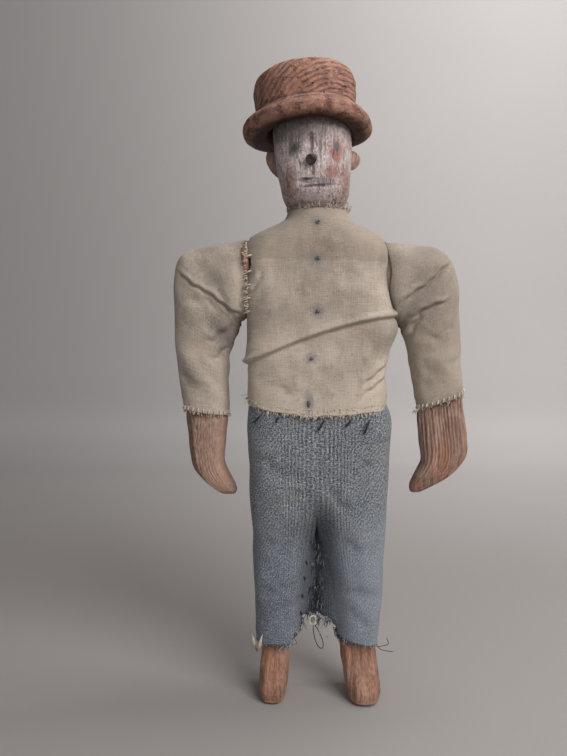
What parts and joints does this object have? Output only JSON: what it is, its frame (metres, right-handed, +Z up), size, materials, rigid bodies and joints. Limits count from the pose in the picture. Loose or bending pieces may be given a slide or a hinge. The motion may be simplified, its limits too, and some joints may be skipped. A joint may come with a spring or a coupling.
{
  "type": "wooden doll",
  "caption": "Carved wooden doll of a standing man in a brimmed hat, linen shirt and twill trousers; the head turns on a dowel and the arms and legs swing on nails.",
  "frame": {"origin": "on the floor under the middle of the doll's box", "axes": "+Z up from the soles, -Y the way the doll faces, +X towards the doll's own left"},
  "size_m": [0.1368, 0.0606, 0.2959],
  "materials": {
    "bare_wood": "rubbed bare wood",
    "hat_wood": "stained wood with dark growth rings",
    "painted_wood": "worn pale paint",
    "iron": "dull",
    "linen": "plain weave",
    "twill": "twill weave",
    "thread": "twisted thread"
  },
  "bodies": {
    "torso": {"trunk": "bare_wood", "shoulder_bar": "bare_wood", "shirt_front": "linen", "shirt_back": "linen", "trouser_seat": "twill", "left_arm_nail": "iron", "right_arm_nail": "iron", "left_hip_nail": "iron", "right_hip_nail": "iron", "button_knot_1": "thread", "button_knot_2": "thread", "button_knot_3": "thread", "button_knot_4": "thread", "button_knot_5": "thread"},
    "head": {"head": "painted_wood", "neck_dowel": "bare_wood", "hat": "hat_wood", "hat_peg": "bare_wood", "nose_peg": "bare_wood", "left_ear": "bare_wood", "right_ear": "bare_wood"},
    "left_arm": {"left_arm": "bare_wood", "left_sleeve": "linen"},
    "right_arm": {"right_arm": "bare_wood", "right_sleeve": "linen"},
    "left_leg": {"left_leg": "bare_wood", "left_trouser_leg": "twill"},
    "right_leg": {"right_leg": "bare_wood", "right_trouser_leg": "twill"}
  },
  "joints": [
    {"name": "neck_turn", "type": "hinge", "parent": "torso", "child": "head", "pos_m": [-0.00092, 0.00055, 0.2266], "axis": [-0.0698, 0, 0.9976], "range_deg": [-40, 40]},
    {"name": "left_shoulder_swing", "type": "hinge", "parent": "torso", "child": "left_arm", "pos_m": [0.0505, 0.00055, 0.2008], "axis": [-1, 0, 0], "range_deg": [-30, 70]},
    {"name": "right_shoulder_swing", "type": "hinge", "parent": "torso", "child": "right_arm", "pos_m": [-0.0551, 0.00055, 0.2008], "axis": [-1, 0, 0], "range_deg": [-30, 70]},
    {"name": "left_hip_swing", "type": "hinge", "parent": "torso", "child": "left_leg", "pos_m": [0.0115, 0.00055, 0.103], "axis": [-1, 0, 0], "range_deg": [-20, 35]},
    {"name": "right_hip_swing", "type": "hinge", "parent": "torso", "child": "right_leg", "pos_m": [-0.0133, 0.00055, 0.103], "axis": [-1, 0, 0], "range_deg": [-20, 35]}
  ]
}
